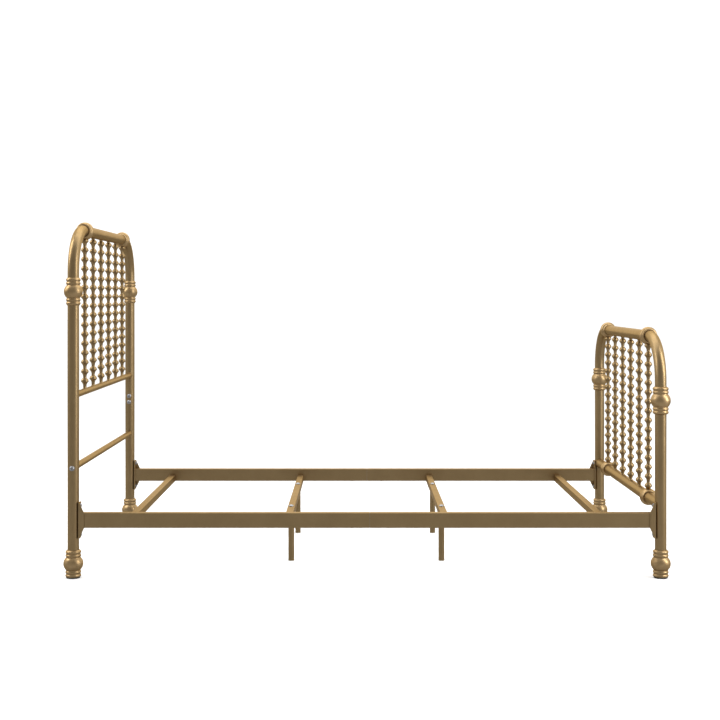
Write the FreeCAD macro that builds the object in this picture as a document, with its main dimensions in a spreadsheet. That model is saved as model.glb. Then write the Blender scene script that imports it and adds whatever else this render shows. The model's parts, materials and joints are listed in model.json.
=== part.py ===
import FreeCAD, Part
import math
import os
import re
import Sketcher
from FreeCAD import Placement, Rotation, Vector

# A single bed frame of steel tube with cast ornaments: a tall headboard, a lower footboard,
# two side rails, four cross slats and four support legs.
# The origin is on the floor under the middle of the bed.  +X runs from the headboard to the
# footboard, +Y to the left of a person who lies in the bed, and +Z is up.  Millimetres.

# --- driving dimensions -----------------------------------------------------------------

SIZES = [
    # overall
    ("bed_length", 1955, "headboard post axis to footboard post axis"),
    ("bed_width", 1016, "left post axis to right post axis"),
    ("head_rail_height", 1161.4, "floor to the axis of the headboard's top rail"),
    ("foot_rail_height", 799, "floor to the axis of the footboard's top rail"),
    # tubes of the two boards
    ("post_dia", 38, "outer diameter of the posts and the top rails"),
    ("post_wall", 1.5, "wall of the posts and the top rails"),
    ("post_bend", 147, "radius of the bend, at the tube's axis"),
    ("middle_rail_height", 606, "floor to the axis of the headboard's middle rail"),
    ("lower_rail_height", 365.4, "floor to the axis of the headboard's lower rail"),
    ("cross_rail_dia", 22, "outer diameter of the headboard's middle and lower rails"),
    ("bottom_rail_height", 240.8, "floor to the axis of the footboard's bottom rail"),
    ("bottom_rail_dia", 38, "outer diameter of the footboard's bottom rail"),
    ("rail_wall", 1.2, "wall of the round rails and of the support legs"),
    # clearances
    ("weld_gap", 0.1, "left between a coped tube end and the tube that it is welded to"),
    ("sleeve_gap", 0.2, "between a casting's bore and the tube in it, on the radius"),
    ("plug_gap", 0.2, "between a plug or sleeve and the tube around it, on each side"),
    ("bolt_gap", 0.4, "between a bolt and its clearance hole, on the radius"),
    ("thread_gap", 0.1, "between a bolt and its threaded hole, on the radius"),
    ("post_gap", 0.3, "between a round post and the flat part held against it"),
    ("tool_overrun", 5, "how far a cutting shape runs past the faces that it cuts"),
    # castings on the posts
    ("pad_height", 4, "height of the floor pad under each post"),
    ("pad_dia", 46, "diameter of the floor pad"),
    ("pad_peg_dia", 12, "diameter of the peg that holds the floor pad"),
    ("pad_peg_length", 9, "length of that peg"),
    ("foot_height", 89, "height of the cast foot"),
    ("foot_bun_step", 13.8, "post's surface out to the widest line of the cast foot"),
    ("foot_ring_step", 6.9, "post's surface out to the foot's rings"),
    ("foot_groove_step", 4.8, "post's surface out to the foot's grooves"),
    ("foot_ring_rise", 4.4, "lower end of the foot to the middle of its first ring"),
    ("foot_floor", 16, "solid metal under the post, in the foot"),
    ("ornament_height", 92, "height of the cast ornament on each post"),
    ("ornament_drop", 16.5, "start of the bend down to the top of the ornament"),
    ("ornament_ring_rise", 7, "end of the ornament to the middle of its first ring"),
    ("head_bun_step", 12, "post's surface out to the widest line of a headboard ornament"),
    ("head_ring_step", 5, "post's surface out to that ornament's rings"),
    ("head_groove_step", 2.8, "post's surface out to its grooves"),
    ("footboard_bun_step", 13.8, "post's surface out to the widest line of a footboard ornament"),
    ("footboard_ring_step", 7.2, "post's surface out to that ornament's rings"),
    ("footboard_groove_step", 5, "post's surface out to its grooves"),
    ("bun_fullness", 0.5, "share of a bun's height that lies below its widest line"),
    ("ring_width", 8.6, "height of one cast ring"),
    ("ring_pitch", 11.4, "middle of one ring to the middle of the next"),
    ("neck_height", 2.6, "plain neck between a ring and the bun"),
    ("lip_step", 1.4, "wall that shows at the open end of a casting"),
    ("mouth_chamfer", 1.2, "chamfer at the mouth of a casting's bore"),
    # castings on the rails
    ("collar_length", 50, "length of the collar that joins a bent post to its top rail"),
    ("collar_bun_step", 12, "rail's surface out to the widest line of that collar"),
    ("collar_ring_step", 8, "rail's surface out to its outer ring"),
    ("collar_end_step", 5, "rail's surface out to its inner ring"),
    ("collar_groove_step", 3.5, "rail's surface out to its grooves"),
    ("collar_lip", 2, "plain lip between an end of the collar and its ring"),
    ("collar_socket", 14, "depth that each tube goes into the collar"),
    ("ball_step", 10.5, "bottom rail's surface out to the widest line of the ball on it"),
    ("ball_neck_step", 3.5, "bottom rail's surface out to the edges of the ball's two ends"),
    # spindles
    ("spindle_count", 6, "spindles in each board"),
    ("bead_pitch", 32.4, "widest line of one bead to that of the next"),
    ("bead_dia", 26, "largest diameter of a bead"),
    ("bead_rim_dia", 15.6, "diameter of the rim at the top of a bead's dome"),
    ("bead_waist_dia", 21.5, "diameter where a bead's belly meets the hollow flare under it"),
    ("bead_top", 12, "widest line of a bead up to its neck"),
    ("bead_rim_rise", 10.2, "widest line of a bead up to its rim"),
    ("bead_waist_drop", 3, "widest line of a bead down to its waist"),
    ("bead_bottom", 14.6, "widest line of a bead down to its neck"),
    ("bead_cove", 18, "radius of the hollow flare under a bead"),
    ("rim_cove", 2.6, "radius of the hollow between a bead's rim and its neck"),
    ("neck_dia", 12, "diameter of a spindle between its beads"),
    ("head_first_bead", 23.8, "top of the middle rail to the widest line of the lowest bead"),
    ("foot_first_bead", 17.6, "top of the bottom rail to the widest line of the lowest bead"),
    ("last_bead_room", 12.5, "least height from the highest bead's widest line to the top rail"),
    ("spindle_root", 3, "length of a spindle that is coped away at each end"),
    # side rails
    ("rail_height", 50, "height of a side rail"),
    ("rail_width", 25, "width of a side rail"),
    ("rail_base", 167, "floor to the underside of a side rail"),
    ("side_rail_wall", 1.5, "wall of a side rail"),
    ("tube_corner", 2, "outer corner radius of the square and rectangular tubes"),
    ("rail_end", 30, "post axis to the end of the side rail's tube"),
    ("seam_place", 9, "middle of the bed to the seam between the two halves of a rail"),
    ("seam_gap", 0.6, "width of that seam"),
    ("joiner_length", 200, "length of the sleeve inside the seam"),
    ("joiner_wall", 1.5, "wall of that sleeve"),
    ("joiner_screw_reach", 60, "seam to each of the sleeve's screws"),
    # rail end brackets
    ("bracket_height", 120, "height of the bracket's end plate"),
    ("bracket_width", 31, "width of the end plate"),
    ("plate_wall", 4, "thickness of the end plate"),
    ("web_wall", 3, "thickness of the bracket's outer web"),
    ("web_reach", 39, "post axis to the inboard end of the web"),
    ("spigot_length", 35, "length of the bracket's spigot inside the rail"),
    ("spigot_wall", 2, "wall of the spigot"),
    ("rail_bolt_spread", 95, "height between the two bolts of one bracket"),
    # cross slats and support legs
    ("slat_size", 25, "height and width of a cross slat"),
    ("slat_wall", 1.2, "wall of a cross slat"),
    ("slat_rise", 1, "underside of a side rail up to the underside of a slat"),
    ("slat_count", 4, "cross slats, the middle two with legs"),
    ("end_slat_place", 180.4, "post axis to the middle of the nearest cross slat"),
    ("leg_dia", 21, "outer diameter of a support leg"),
    ("leg_reach", 250, "middle of the bed to the axis of a support leg"),
    ("leg_plug_length", 26, "threaded plug in the top of a leg"),
    ("glide_height", 2, "height of the glide under a leg"),
    ("glide_plug_length", 12, "length of the glide's plug inside the leg"),
    ("hook_wall", 3, "thickness of a slat hook"),
    ("hook_inside", 22, "length of a slat hook inside the slat"),
    ("hook_nose", 4, "length of a slat hook behind the rail's wall"),
    ("hook_height", 12, "height of the tongue that goes through the rail's slot"),
    ("hook_drop", 4, "depth that the hook catches behind the rail's wall"),
    ("slot_gap", 0.5, "between the hook's tongue and the slot, on each side"),
    # bolts
    ("bolt_dia", 8, "shank of the rail, post and leg bolts"),
    ("bolt_head_dia", 16, "head of those bolts"),
    ("bolt_head_height", 5.5, "height of the head"),
    ("washer_dia", 18, "washer forged onto the head"),
    ("washer_height", 1.4, "height of that washer"),
    ("rail_bolt_reach", 26, "length of a rail bolt under its head"),
    ("post_bolt_reach", 14, "length of a post bolt under its head"),
    ("post_bolt_height", 508.5, "floor to the middle of the pair of post bolts"),
    ("post_bolt_spread", 25, "height between the two post bolts"),
    ("lower_bolt_depth", 22, "length of the lower rail's bolt inside that rail"),
    ("lower_plug_length", 28, "threaded plug in each end of the lower rail"),
    ("leg_bolt_depth", 20, "length of a leg bolt inside the leg"),
    ("screw_dia", 5, "shank of the joiner screws"),
    ("screw_head_dia", 9.5, "head of the joiner screws"),
    ("screw_head_height", 2.4, "height of that head"),
    ("screw_reach", 9, "length of a joiner screw under its head"),
]

# Places and sizes that follow from the driving dimensions.
HALF_LENGTH = "(bed_length / 2)"
HALF_WIDTH = "(bed_width / 2)"
POST_RADIUS = "(post_dia / 2)"
POST_FOOT = "(pad_height + foot_floor)"
COLLAR_FACE = f"({HALF_WIDTH} - post_bend)"
COLLAR_MIDDLE = f"({COLLAR_FACE} - collar_length / 2)"
SPINDLE_STEP = f"(2 * {COLLAR_MIDDLE} / (spindle_count - 1))"
RAIL_MIDDLE = "(rail_base + rail_height / 2)"
RAIL_INNER_FACE = f"({HALF_WIDTH} - rail_width / 2)"
SLAT_BASE = "(rail_base + slat_rise)"
SLAT_TOP = f"({SLAT_BASE} + slat_size)"
SLAT_MIDDLE = f"({SLAT_BASE} + slat_size / 2)"
PLATE_FACE = f"({POST_RADIUS} + post_gap)"
PLATE_INNER = f"({PLATE_FACE} + plate_wall)"
SLEEVE_BORE = f"({POST_RADIUS} + sleeve_gap)"
RAIL_START = f"({HALF_LENGTH} - rail_end)"
HALF_SEAM = "(seam_gap / 2)"
SLAT_PITCH = "((bed_length - 2 * end_slat_place) / (slat_count - 1))"
BALL_DIA = "(bottom_rail_dia + 2 * ball_step)"
COLLAR_BUN_DIA = "(post_dia + 2 * collar_bun_step)"

BOARDS = {
    "headboard": {"end": -1, "top": "head_rail_height", "ornament": "head",
                  "low": "middle_rail_height", "low_dia": "cross_rail_dia",
                  "first_bead": "head_first_bead"},
    "footboard": {"end": 1, "top": "foot_rail_height", "ornament": "footboard",
                  "low": "bottom_rail_height", "low_dia": "bottom_rail_dia",
                  "first_bead": "foot_first_bead"},
}
SIDES = {"left": 1, "right": -1}

doc = FreeCAD.newDocument("bed_frame")
sheet = doc.addObject("Spreadsheet::Sheet", "Sizes")
for row, (alias, number, note) in enumerate(SIZES, start=1):
    sheet.set(f"A{row}", alias)
    sheet.set(f"B{row}", str(number))
    sheet.set(f"C{row}", note)
    sheet.setAlias(f"B{row}", alias)
doc.recompute()

ALIASES = re.compile(r"\b(" + "|".join(alias for alias, _, _ in SIZES) + r")\b")
nodes = []


# --- helpers ----------------------------------------------------------------------------

def formula(text):
    """Write a formula's size names the way the document's expressions need them."""
    return ALIASES.sub(r"Sizes.\1", str(text))


def amount(text):
    """The present value of a formula."""
    return float(sheet.evalExpression(formula(text)))


SPINDLES = round(amount("spindle_count"))
SLATS = round(amount("slat_count"))
LEG_SLATS = (SLATS // 2, SLATS // 2 + 1)


def bind(item, **properties):
    """Tie properties of an object to formulas on the sheet."""
    for name, text in properties.items():
        item.setExpression(name, formula(text))


def place(item, x="0", y="0", z="0", turn=Rotation()):
    """Turn an object and tie its place to formulas."""
    item.Placement = Placement(Vector(amount(x), amount(y), amount(z)), turn)
    for axis, text in (("x", x), ("y", y), ("z", z)):
        item.setExpression(f"Placement.Base.{axis}", formula(text))


def keep(item, label, solids=1):
    """Name an object as one sub-part of the bed."""
    item.Label = label
    nodes.append((item, label, solids))
    return item


ALONG = {
    "+x": Rotation(Vector(0, 1, 0), 90),
    "-x": Rotation(Vector(0, 1, 0), -90),
    "+y": Rotation(Vector(1, 0, 0), -90),
    "-y": Rotation(Vector(1, 0, 0), 90),
    "+z": Rotation(),
    "-z": Rotation(Vector(1, 0, 0), 180),
}


def cylinder(name, dia, length, x="0", y="0", z="0", along="+z"):
    item = doc.addObject("Part::Cylinder", name)
    bind(item, Radius=f"({dia}) / 2", Height=length)
    place(item, x, y, z, ALONG[along])
    return item


def box(name, corner, size):
    item = doc.addObject("Part::Box", name)
    bind(item, Length=size[0], Width=size[1], Height=size[2])
    place(item, *corner)
    return item


def quarter_ring(name, dia, x, y, z, side):
    """A quarter of a torus that carries a post over from upright to level."""
    item = doc.addObject("Part::Torus", name)
    item.Angle3 = 90
    bind(item, Radius1="post_bend", Radius2=f"({dia}) / 2")
    turn = Rotation(Vector(0, side, 0), Vector(0, 0, 1), Vector(side, 0, 0))
    place(item, x, y, z, turn)
    return item


def fuse(name, items):
    item = doc.addObject("Part::MultiFuse", name)
    item.Shapes = items
    return item


def cut(name, base, tools):
    item = doc.addObject("Part::Cut", name)
    item.Base = base
    item.Tool = tools[0] if len(tools) == 1 else fuse(name + "_tools", tools)
    return item


def group(name, items):
    item = doc.addObject("Part::Compound", name)
    item.Links = items
    return item


def origin_part(body, role):
    return next(part for part in body.Origin.OriginFeatures if part.Role == role)


def new_sketch(body, name, plane):
    sketch = body.newObject("Sketcher::SketchObject", name)
    sketch.AttachmentSupport = (origin_part(body, plane), [""])
    sketch.MapMode = "FlatFace"
    return sketch


def bulge_radius(rise, half_span):
    """Radius of the arc that rises by `rise` over a span of twice `half_span`."""
    return f"((({half_span})^2 + ({rise})^2) / (2 * ({rise})))"


def arc_between(start, end, radius, turn):
    """The short arc from start to end; turn is 1 anticlockwise and -1 clockwise."""
    chord = end - start
    half = chord.Length / 2
    across = Vector(-chord.y, chord.x, 0).normalize()
    offset = math.sqrt(max(radius ** 2 - half ** 2, 0))
    centre = (start + end) * 0.5 + across * offset * turn
    first, last = (start, end) if turn > 0 else (end, start)
    angles = [math.atan2(p.y - centre.y, p.x - centre.x) for p in (first, last)]
    if angles[1] < angles[0]:
        angles[1] += 2 * math.pi
    return Part.ArcOfCircle(Part.Circle(centre, Vector(0, 0, 1), radius), *angles)


def outline(sketch, corners):
    """Draw a closed outline.  Each corner is (x, y) or, where an arc leads to it,
    (x, y, radius, turn).  Every corner and radius is tied to its formula."""
    spots = [Vector(amount(corner[0]), amount(corner[1]), 0) for corner in corners]
    pieces = []
    starts = []
    for index, corner in enumerate(corners):
        before = spots[index - 1]
        if len(corner) == 2:
            pieces.append(Part.LineSegment(before, spots[index]))
            starts.append(1)
        else:
            pieces.append(arc_between(before, spots[index], amount(corner[2]), corner[3]))
            starts.append(1 if corner[3] > 0 else 2)
    sketch.addGeometry(pieces)
    rules = []
    ties = []
    for index, corner in enumerate(corners):
        following = (index + 1) % len(corners)
        end = 3 - starts[index]
        rules.append(Sketcher.Constraint("Coincident", index, end, following, starts[following]))
        for kind, axis, text in (("DistanceX", -2, corner[0]), ("DistanceY", -1, corner[1])):
            if text == "0":
                rules.append(Sketcher.Constraint("PointOnObject", index, end, axis))
            else:
                ties.append((len(rules), text))
                rules.append(Sketcher.Constraint(kind, -1, 1, index, end, amount(text)))
        if len(corner) > 2:
            ties.append((len(rules), corner[2]))
            rules.append(Sketcher.Constraint("Radius", index, amount(corner[2])))
    sketch.addConstraint(rules)
    for index, text in ties:
        sketch.setExpression(f"Constraints[{index}]", formula(text))


def lathe(name, corners):
    """A body turned about its own Z axis from an outline of (radius, height) corners."""
    body = doc.addObject("PartDesign::Body", name)
    turned = turn_feature(body, name, corners)
    body.Tip = turned
    return body


def turn_feature(body, name, corners):
    sketch = new_sketch(body, name + "_outline", "XZ_Plane")
    outline(sketch, corners)
    turned = body.newObject("PartDesign::Revolution", name + "_turned")
    turned.Profile = sketch
    turned.ReferenceAxis = (sketch, ["V_Axis"])
    turned.Angle = 360
    return turned


def rectangle(x0, y0, x1, y1):
    return [(x0, y0), (x1, y0), (x1, y1), (x0, y1)]


def signed(sign, text):
    return f"({text})" if sign > 0 else f"(-({text}))"


# --- castings ---------------------------------------------------------------------------

def ring(low_end, groove, dia):
    """Corners of one half-round ring that starts at height `low_end`."""
    rise = f"(({dia}) - ({groove})) / 2"
    radius = bulge_radius(rise, "ring_width / 2")
    return [(f"({groove}) / 2", low_end),
            (f"({groove}) / 2", f"({low_end}) + ring_width", radius, 1)]


def casting_outline(height, first_ring, groove, ring_dia, bun_dia, inner):
    """Two rings, a bun and two rings, from the lower end up, closed by `inner` corners."""
    low = [f"({first_ring}) - ring_width / 2", f"({first_ring}) - ring_width / 2 + ring_pitch"]
    high_one = f"({height}) - ornament_ring_rise - ring_width / 2"
    high = [f"({high_one}) - ring_pitch", high_one]
    bun_low = f"({low[1]}) + ring_width + neck_height"
    bun_high = f"({high[0]}) - neck_height"
    bun_middle = f"({bun_low} + bun_fullness * ({bun_high} - ({bun_low})))"
    swell = f"(({bun_dia}) - ({groove})) / 2"
    corners = []
    for low_end in low:
        corners += ring(low_end, groove, ring_dia)
    corners.append((f"({groove}) / 2", bun_low))
    corners.append((f"({bun_dia}) / 2", bun_middle,
                    bulge_radius(swell, f"({bun_middle}) - ({bun_low})"), 1))
    corners.append((f"({groove}) / 2", bun_high,
                    bulge_radius(swell, f"({bun_high}) - ({bun_middle})"), 1))
    for low_end in high:
        corners += ring(low_end, groove, ring_dia)
    return corners + inner


def casting_dias(kind):
    """Groove, ring and bun diameters of one kind of casting on a post."""
    return [f"(post_dia + 2 * {kind}_{part}_step)" for part in ("groove", "ring", "bun")]


def foot_casting(name):
    """A cast foot with a blind bore for the post and a hole for the pad's peg."""
    groove, ring_dia, bun_dia = casting_dias("foot")
    peg_hole = "(pad_peg_dia / 2 + plug_gap)"
    inner = [
        (f"{SLEEVE_BORE} + lip_step + mouth_chamfer", "foot_height"),
        (f"{SLEEVE_BORE} + mouth_chamfer", "foot_height"),
        (SLEEVE_BORE, "foot_height - mouth_chamfer"),
        (SLEEVE_BORE, "foot_floor"),
        ("0", "foot_floor"),
        ("0", "pad_peg_length + plug_gap"),
        (peg_hole, "pad_peg_length + plug_gap"),
        (peg_hole, "0"),
        (f"{groove} / 2", "0"),
    ]
    corners = casting_outline("foot_height", "foot_ring_rise", groove, ring_dia, bun_dia, inner)
    return lathe(name, corners)


def post_ornament(name, kind):
    """A cast sleeve around a post; `kind` is the board whose sizes it has."""
    inner = [
        (f"{SLEEVE_BORE} + lip_step", "ornament_height"),
        (SLEEVE_BORE, "ornament_height"),
        (SLEEVE_BORE, "0"),
        (f"{SLEEVE_BORE} + lip_step", "0"),
    ]
    groove, ring_dia, bun_dia = casting_dias(kind)
    corners = casting_outline("ornament_height", "ornament_ring_rise", groove, ring_dia,
                              bun_dia, inner)
    return lathe(name, corners)


def top_collar(name):
    """The collar between a bent post (at height 0 of the outline) and the top rail."""
    groove = "(post_dia / 2 + collar_groove_step)"
    bun_low = "collar_lip + ring_width + neck_height"
    bun_high = "collar_length - collar_lip - ring_width - neck_height"
    bun_middle = f"(({bun_low}) + ({bun_high})) / 2"
    swell = "collar_bun_step - collar_groove_step"
    outer_rise = "collar_ring_step - collar_groove_step"
    inner_rise = "collar_end_step - collar_groove_step"
    corners = [
        (f"{SLEEVE_BORE} + mouth_chamfer", "0"),
        (groove, "0"),
        (groove, "collar_lip"),
        (groove, "collar_lip + ring_width", bulge_radius(outer_rise, "ring_width / 2"), 1),
        (groove, bun_low),
        (f"{COLLAR_BUN_DIA} / 2", bun_middle,
         bulge_radius(swell, f"({bun_middle}) - ({bun_low})"), 1),
        (groove, bun_high, bulge_radius(swell, f"({bun_high}) - ({bun_middle})"), 1),
        (groove, "collar_length - collar_lip - ring_width"),
        (groove, "collar_length - collar_lip", bulge_radius(inner_rise, "ring_width / 2"), 1),
        (f"{SLEEVE_BORE} + lip_step", "collar_length"),
        (SLEEVE_BORE, "collar_length"),
        (SLEEVE_BORE, "mouth_chamfer"),
    ]
    return lathe(name, corners)


def rail_ball(name):
    """The ball around the footboard's bottom rail, where an outer spindle lands."""
    bore = "(bottom_rail_dia / 2 + sleeve_gap)"
    radius = f"({BALL_DIA} / 2)"
    neck = "(bottom_rail_dia / 2 + ball_neck_step)"
    half = f"sqrt({radius}^2 - {neck}^2)"
    corners = [
        (neck, "0"),
        (radius, half, radius, 1),
        (neck, f"2 * {half}", radius, 1),
        (bore, f"2 * {half}"),
        (bore, "0"),
    ]
    return lathe(name, corners), half


# --- the two boards ---------------------------------------------------------------------

def bolt(name, reach, x, y, z, along):
    """A bolt whose washer sits on the point given and whose shank runs `along`."""
    back = {"+": "-", "-": "+"}[along[0]] + along[1]
    shank = cylinder(name + "_shank", "bolt_dia", reach, x, y, z, along)
    washer = cylinder(name + "_washer", "washer_dia", "washer_height", x, y, z, back)
    head = cylinder(name + "_head", "bolt_head_dia", "bolt_head_height", x, y, z, back)
    return fuse(name, [shank, washer, head])


def bent_post(board, side_name):
    """A post: upright tube, quarter bend and a short level end in the collar."""
    facts = BOARDS[board]
    side = SIDES[side_name]
    name = f"{board}_post_{side_name}"
    x = signed(facts["end"], HALF_LENGTH)
    y = signed(side, HALF_WIDTH)
    inward = "-y" if side > 0 else "+y"
    bend_start = f"({facts['top']} - post_bend)"
    bore = "post_dia - 2 * post_wall"
    shells = []
    for part, dia in (("skin", "post_dia"), ("bore", bore)):
        upright = cylinder(f"{name}_{part}_upright", dia, f"{bend_start} - {POST_FOOT}",
                           x, y, POST_FOOT)
        bend = quarter_ring(f"{name}_{part}_bend", dia, x, signed(side, COLLAR_FACE),
                            bend_start, side)
        level = cylinder(f"{name}_{part}_level", dia, "collar_socket", x,
                         signed(side, COLLAR_FACE), facts["top"], inward)
        shells.append([upright, bend, level])
    holes = []
    hole_dia = "bolt_dia + 2 * bolt_gap"
    inboard = "+x" if facts["end"] < 0 else "-x"
    for index, sign in enumerate((-1, 1), start=1):
        height = f"{RAIL_MIDDLE} + {sign} * rail_bolt_spread / 2"
        holes.append(cylinder(f"{name}_rail_hole_{index}", hole_dia, "post_dia",
                              x, y, height, inboard))
    if board == "headboard":
        holes.append(cylinder(f"{name}_lower_hole", hole_dia, "2 * post_dia", x,
                              f"{y} - post_dia", "lower_rail_height", "+y"))
        for index, sign in enumerate((-1, 1), start=1):
            height = f"post_bolt_height + {sign} * post_bolt_spread / 2"
            holes.append(cylinder(f"{name}_post_hole_{index}", hole_dia, "post_dia",
                                  x, y, height, inward))
    return keep(cut(name, fuse(name + "_skin", shells[0]), shells[1] + holes), name)


def round_rail(name, dia, wall, x, z, half_length):
    """A level tube from side to side of the bed."""
    skin = cylinder(name + "_skin", dia, f"2 * {half_length}", x, f"-{half_length}", z, "+y")
    bore = cylinder(name + "_bore", f"{dia} - 2 * {wall}", f"2 * {half_length}", x,
                    f"-{half_length}", z, "+y")
    return skin, bore


def post_copes(name, x, z, dia):
    """Two upright cylinders that shape a rail's ends to the posts."""
    return [cylinder(f"{name}_cope_{side_name}", "post_dia + 2 * weld_gap", f"2 * {dia}", x,
                     signed(side, HALF_WIDTH), f"{z} - {dia}")
            for side_name, side in SIDES.items()]


def top_rail(board):
    facts = BOARDS[board]
    name = f"{board}_top_rail"
    half = f"({COLLAR_FACE} - collar_length + collar_socket)"
    x = signed(facts["end"], HALF_LENGTH)
    skin, bore = round_rail(name, "post_dia", "post_wall", x, facts["top"], half)
    return keep(cut(name, skin, [bore]), name)


def coped_rail(name, dia, x, z, holes=()):
    skin, bore = round_rail(name, dia, "rail_wall", x, z, HALF_WIDTH)
    return keep(cut(name, skin, [bore, *holes] + post_copes(name, x, z, dia)), name)


def lower_rail(name, x):
    """The headboard's lower rail, plugged and threaded at both ends for its bolts."""
    z = "lower_rail_height"
    end = f"({HALF_WIDTH} - {POST_RADIUS} - weld_gap)"
    hollow = f"({end} - lower_plug_length)"
    skin = cylinder(name + "_skin", "cross_rail_dia", f"2 * {HALF_WIDTH}", x,
                    f"-{HALF_WIDTH}", z, "+y")
    bore = cylinder(name + "_bore", "cross_rail_dia - 2 * rail_wall", f"2 * {hollow}", x,
                    f"-{hollow}", z, "+y")
    threads = []
    for side_name, side in SIDES.items():
        inward = "-y" if side > 0 else "+y"
        threads.append(cylinder(f"{name}_thread_{side_name}", "bolt_dia + 2 * thread_gap",
                                f"{POST_RADIUS} + lower_plug_length", x,
                                signed(side, HALF_WIDTH), z, inward))
    return keep(cut(name, skin, [bore] + threads + post_copes(name, x, z, "cross_rail_dia")), name)


def spindle(board, number, collars, balls):
    """A beaded spindle, coped to the rail or the casting at each end."""
    facts = BOARDS[board]
    name = f"{board}_spindle_{number}"
    outer = number in (1, SPINDLES)
    x = signed(facts["end"], HALF_LENGTH)
    y = f"({number} - 1 - (spindle_count - 1) / 2) * {SPINDLE_STEP}"
    low_face = f"({facts['low']} + {facts['low_dia']} / 2)"
    high_face = f"({facts['top']} - {POST_RADIUS})"
    start = f"({low_face} - spindle_root)"
    if outer and board == "footboard":
        start = f"({facts['low']} + {BALL_DIA} / 2 - spindle_root)"
    end = f"({high_face} + spindle_root)"
    if outer:
        end = f"({facts['top']} - {COLLAR_BUN_DIA} / 2 + spindle_root)"
    room = f"({high_face} - {low_face} - {facts['first_bead']} - last_bead_room)"
    count = f"floor({room} / bead_pitch) + 1"
    body = lathe(name + "_turning", [("0", "0"), ("neck_dia / 2", "0"),
                                     ("neck_dia / 2", f"{end} - {start}"), ("0", f"{end} - {start}")])
    middle = f"({low_face} + {facts['first_bead']} - {start})"
    bead = turn_feature(body, name + "_bead", bead_outline(middle))
    pattern = body.newObject("PartDesign::LinearPattern", name + "_beads")
    pattern.Originals = [bead]
    pattern.Direction = (origin_part(body, "Z_Axis"), [""])
    pattern.Length = amount(f"bead_pitch * ({count} - 1)")
    pattern.Occurrences = round(amount(count))
    bind(pattern, Length=f"bead_pitch * ({count} - 1)", Occurrences=count)
    body.Tip = pattern
    place(body, x, y, start)
    copes = []
    if outer:
        copes.append(collars[number])
    else:
        copes.append(cylinder(name + "_top_cope", "post_dia + 2 * weld_gap", "2 * bead_dia", x,
                              f"{y} - bead_dia", facts["top"], "+y"))
    if outer and board == "footboard":
        copes.append(balls[number])
    else:
        copes.append(cylinder(name + "_low_cope", f"{facts['low_dia']} + 2 * weld_gap",
                              "2 * bead_dia", x, f"{y} - bead_dia", facts["low"], "+y"))
    return keep(cut(name, body, copes), name)


def bead_outline(middle):
    """One bead: a hollow flare below, a short belly, a tall dome and a rim above."""
    neck = "neck_dia / 2"
    waist = "bead_waist_dia / 2"
    belly = "bead_dia / 2"
    rim = "bead_rim_dia / 2"
    swell_low = f"({belly} - {waist})"
    swell_high = f"({belly} - {rim})"
    return [
        ("0", f"{middle} - bead_bottom"),
        (neck, f"{middle} - bead_bottom"),
        (waist, f"{middle} - bead_waist_drop", "bead_cove", -1),
        (belly, middle, bulge_radius(swell_low, "bead_waist_drop"), 1),
        (rim, f"{middle} + bead_rim_rise", bulge_radius(swell_high, "bead_rim_rise"), 1),
        (neck, f"{middle} + bead_top", "rim_cove", -1),
        ("0", f"{middle} + bead_top"),
    ]


def board_parts(board):
    facts = BOARDS[board]
    x = signed(facts["end"], HALF_LENGTH)
    collars = {}
    for side_name, side in SIDES.items():
        y = signed(side, HALF_WIDTH)
        bent_post(board, side_name)
        collar = keep(top_collar(f"{board}_collar_{side_name}"), f"{board}_top_collar_{side_name}")
        place(collar, x, signed(side, COLLAR_FACE), facts["top"], ALONG["-y" if side > 0 else "+y"])
        collars[SPINDLES if side > 0 else 1] = collar
        ornament = keep(post_ornament(f"{board}_ornament_{side_name}", facts["ornament"]),
                        f"{board}_post_ornament_{side_name}")
        place(ornament, x, y, f"{facts['top']} - post_bend - ornament_drop - ornament_height")
        foot = keep(foot_casting(f"{board}_casting_{side_name}"), f"{board}_foot_{side_name}")
        place(foot, x, y, "pad_height")
    top_rail(board)
    return x, collars


def headboard():
    x, collars = board_parts("headboard")
    coped_rail("headboard_middle_rail", "cross_rail_dia", x, "middle_rail_height")
    lower_rail("headboard_lower_rail", x)
    for number in range(1, SPINDLES + 1):
        spindle("headboard", number, collars, {})
    rail_bolts = []
    post_bolts = []
    for side_name, side in SIDES.items():
        inward = "-y" if side > 0 else "+y"
        outward = "+y" if side > 0 else "-y"
        face = f"({HALF_WIDTH} + {POST_RADIUS} + post_gap)"
        reach = "post_dia + post_gap + weld_gap + lower_bolt_depth"
        rail_bolts.append(bolt(f"lower_bolt_{side_name}", reach, x, signed(side, face),
                               "lower_rail_height", inward))
        inner_face = f"({HALF_WIDTH} - {POST_RADIUS} - post_gap)"
        for index, sign in enumerate((-1, 1), start=1):
            height = f"post_bolt_height + {sign} * post_bolt_spread / 2"
            post_bolts.append(bolt(f"post_bolt_{side_name}_{index}", "post_bolt_reach", x,
                                   signed(side, inner_face), height, outward))
    keep(group("lower_rail_bolts", rail_bolts), "headboard_lower_rail_bolts", 2)
    keep(group("post_bolts", post_bolts), "headboard_post_bolts", 4)


def footboard():
    x, collars = board_parts("footboard")
    bolt_holes = [cylinder(f"bottom_rail_bolt_hole_{side_name}", "bolt_dia + 2 * bolt_gap",
                           "post_dia", f"{x} - {PLATE_INNER}", signed(side, HALF_WIDTH),
                           f"{RAIL_MIDDLE} + rail_bolt_spread / 2", "+x")
                  for side_name, side in SIDES.items()]
    coped_rail("footboard_bottom_rail", "bottom_rail_dia", x, "bottom_rail_height", bolt_holes)
    balls = {}
    for side_name, side in SIDES.items():
        ball, half = rail_ball(f"footboard_ball_{side_name}")
        place(ball, x, f"{signed(side, COLLAR_MIDDLE)} - {half}", "bottom_rail_height", ALONG["+y"])
        balls[SPINDLES if side > 0 else 1] = ball
    keep(group("footboard_balls", list(balls.values())), "footboard_bottom_rail_balls", 2)
    for number in range(1, SPINDLES + 1):
        spindle("footboard", number, collars, balls)


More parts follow.
